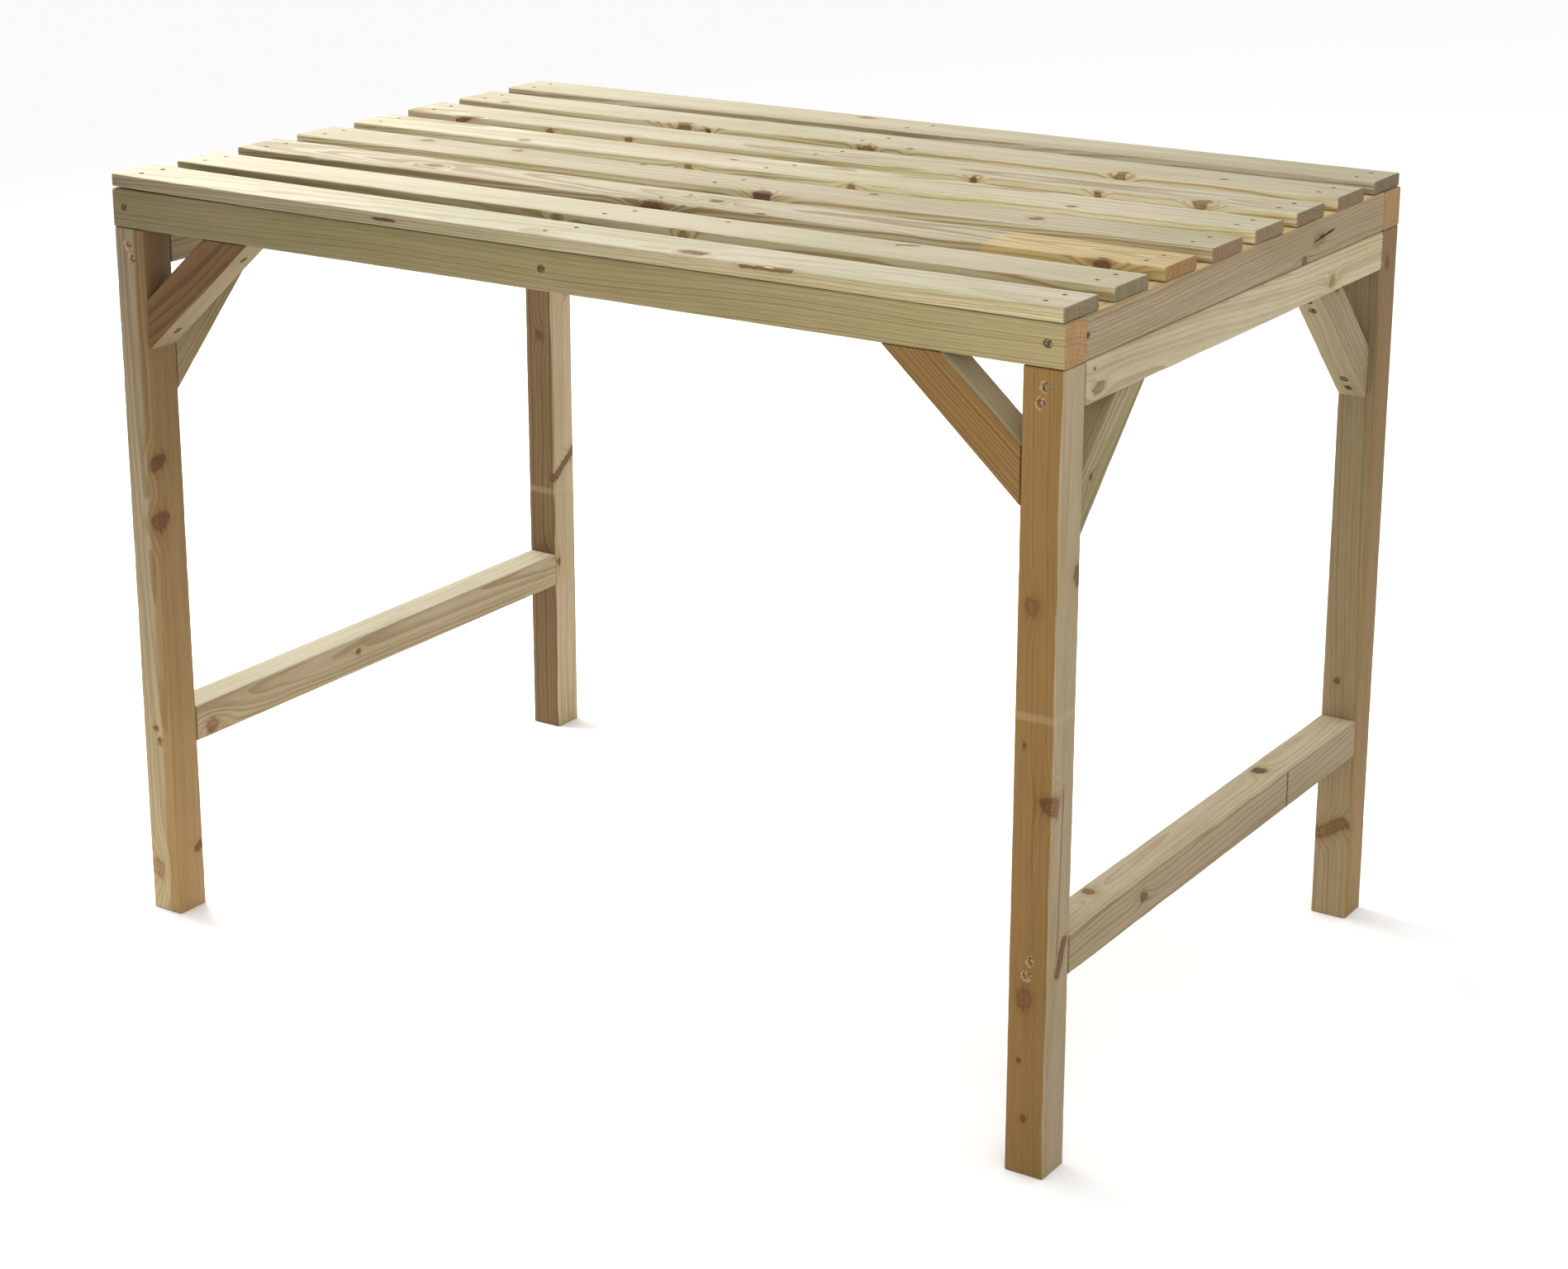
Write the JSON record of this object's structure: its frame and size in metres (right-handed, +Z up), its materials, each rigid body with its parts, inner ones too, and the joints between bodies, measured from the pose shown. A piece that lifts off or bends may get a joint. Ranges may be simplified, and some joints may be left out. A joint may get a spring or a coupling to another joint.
{
  "type": "potting bench",
  "caption": "Free-standing softwood potting bench: a slatted worktop on a cross-braced frame of square posts, rails and stretchers.",
  "frame": {"origin": "on the ground, under the middle of the worktop", "axes": "+X along the bench to its right end, +Y from the front to the back, +Z up"},
  "size_m": [1.2, 0.791, 0.885],
  "materials": {
    "slat_pine": "planed pressure-treated pine, matt",
    "frame_pine": "planed pressure-treated pine, matt",
    "zinc_screw": "yellow zinc plated",
    "steel_nail": "dull galvanised"
  },
  "bodies": {
    "root": {"slat_1": "slat_pine", "slat_2": "slat_pine", "slat_3": "slat_pine", "slat_4": "slat_pine", "slat_5": "slat_pine", "slat_6": "slat_pine", "slat_7": "slat_pine", "slat_8": "slat_pine", "leg_front_left": "frame_pine", "leg_front_right": "frame_pine", "leg_back_left": "frame_pine", "leg_back_right": "frame_pine", "front_beam": "frame_pine", "back_beam": "frame_pine", "side_beam_left": "frame_pine", "side_beam_right": "frame_pine", "centre_beam": "frame_pine", "top_rail_left": "frame_pine", "top_rail_right": "frame_pine", "stretcher_left": "frame_pine", "stretcher_right": "frame_pine", "long_brace_front_left": "frame_pine", "long_brace_front_right": "frame_pine", "long_brace_back_left": "frame_pine", "long_brace_back_right": "frame_pine", "end_brace_front_left": "frame_pine", "end_brace_front_right": "frame_pine", "end_brace_back_left": "frame_pine", "end_brace_back_right": "frame_pine", "leg_screws": "zinc_screw", "beam_screws": "zinc_screw", "rail_screws": "zinc_screw", "brace_screws": "zinc_screw", "slat_nails": "steel_nail"}
  },
  "joints": []
}
